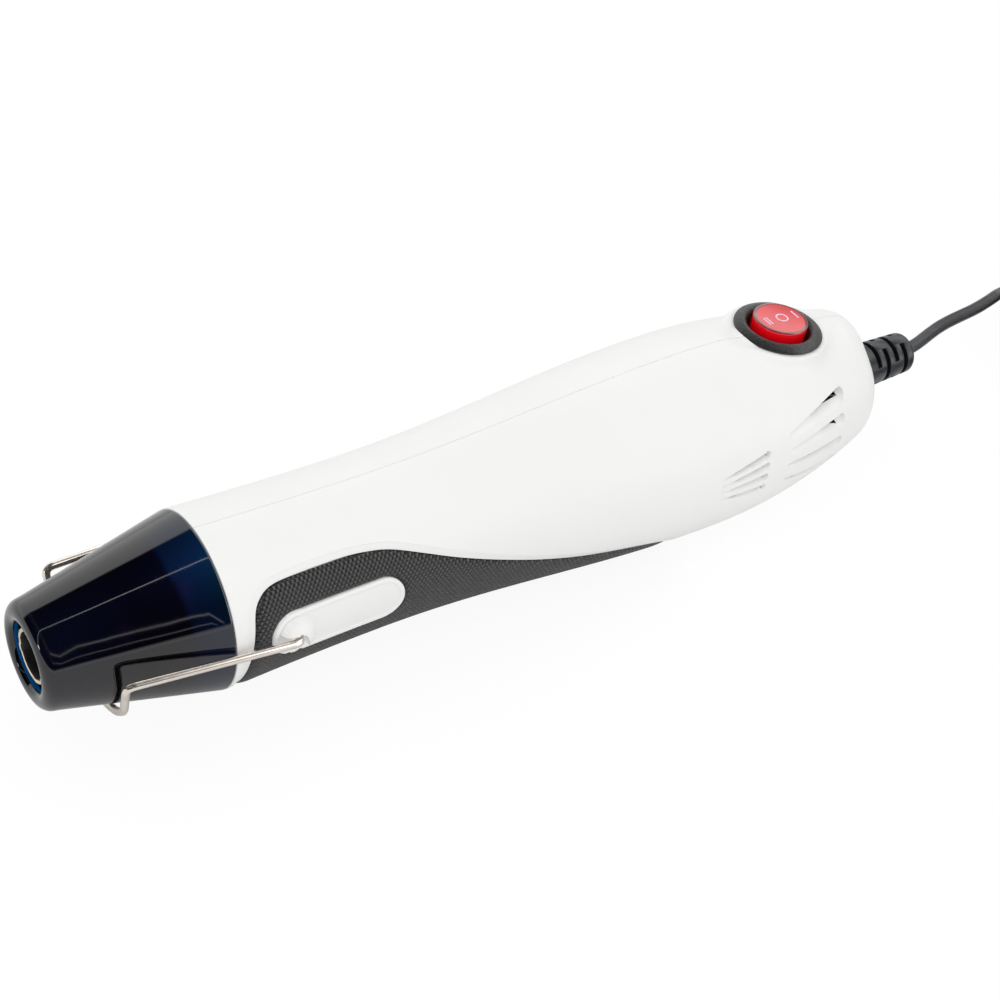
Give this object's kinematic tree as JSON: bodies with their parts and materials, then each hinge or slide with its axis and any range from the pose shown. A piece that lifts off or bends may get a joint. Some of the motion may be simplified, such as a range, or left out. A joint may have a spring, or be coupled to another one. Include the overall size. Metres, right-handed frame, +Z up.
{
  "type": "embossing heat tool",
  "caption": "Slim hand-held hot-air tool with a dark conical nozzle shield, white body, rubber grip, folding wire stand, red rocker switch and mains cord.",
  "frame": {"origin": "centre of the tool's footprint, on the table that its belly rests on, with the cord and plug left out", "axes": "+X along the tool from the nozzle to the cord, +Z up through the switch, +Y to the left when looking from the nozzle to the cord with the switch on top"},
  "size_m": [0.38, 0.0918, 0.0527],
  "materials": {
    "shell": "satin",
    "grip_rubber": "fine woven texture",
    "shield": "gloss",
    "heater_steel": "satin",
    "mica": "matte",
    "heating_wire": "matte",
    "cutout_metal": "satin",
    "motor_steel": "satin",
    "magnet": "matte",
    "bronze": "satin",
    "copper": "satin",
    "carbon": "matte",
    "black_plastic": "fine texture",
    "board": "satin",
    "contact_brass": "satin",
    "rocker_red": "gloss",
    "white_plastic": "satin",
    "screw_steel": "satin",
    "stand_steel": "bright",
    "cord_black": "satin",
    "wire_brown": "satin",
    "wire_red": "satin",
    "pin_metal": "bright"
  },
  "bodies": {
    "tool": {"left_housing": "shell", "right_housing": "shell", "housing_screws": "screw_steel", "grip_sleeve": "grip_rubber", "nozzle_shield": "shield", "heater_barrel": "heater_steel", "outlet_liner": "mica", "mica_liner": "mica", "mica_former": "mica", "heating_coil": "heating_wire", "end_disc": "mica", "thermal_cutout": "cutout_metal", "motor_can": "motor_steel", "motor_end_cap": "black_plastic", "motor_magnets": "magnet", "motor_bushes": "bronze", "motor_brushes": "carbon", "rectifier_board": "board", "rectifier_diodes": "black_plastic", "switch_body": "black_plastic", "switch_terminals": "contact_brass", "strain_relief": "cord_black", "cord_inner": "cord_black", "cord_clamp": "white_plastic", "clamp_screws": "screw_steel", "supply_wires": "wire_brown", "heater_wires": "wire_red", "cord_lead": "cord_black", "cord_coil": "cord_black", "cord_end": "cord_black", "cord_tie": "black_plastic", "plug_body": "cord_black", "plug_pins": "pin_metal", "pin_sleeves": "black_plastic"},
    "stand": {"stand_wire": "stand_steel"},
    "rocker": {"rocker_cap": "rocker_red", "rocker_plunger": "white_plastic", "rocker_spring": "screw_steel"},
    "lever": {"contact_lever": "contact_brass"},
    "rotor": {"motor_shaft": "screw_steel", "armature_core": "motor_steel", "armature_windings": "copper", "commutator": "copper", "fan": "black_plastic"}
  },
  "joints": [
    {"name": "stand_swing", "type": "hinge", "parent": "tool", "child": "stand", "pos_m": [-0.07203, 0, 0.0267], "axis": [0, -1, 0], "range_deg": [0, 105]},
    {"name": "rocker_tilt", "type": "hinge", "parent": "tool", "child": "rocker", "pos_m": [0.07723, 0, 0.0468], "axis": [0, 1, 0], "range_deg": [-9, 9]},
    {"name": "lever_tilt", "type": "hinge", "parent": "tool", "child": "lever", "pos_m": [0.0767, 0, 0.03922], "axis": [0, 1, 0], "range_deg": [-9, 9]},
    {"name": "fan_spin", "type": "hinge", "parent": "tool", "child": "rotor", "pos_m": [0.02367, 0, 0.0258], "axis": [1, 0, 0], "continuous": true}
  ],
  "couplings": [
    {"joint": "lever_tilt", "follows": "rocker_tilt", "ratio": -1}
  ]
}
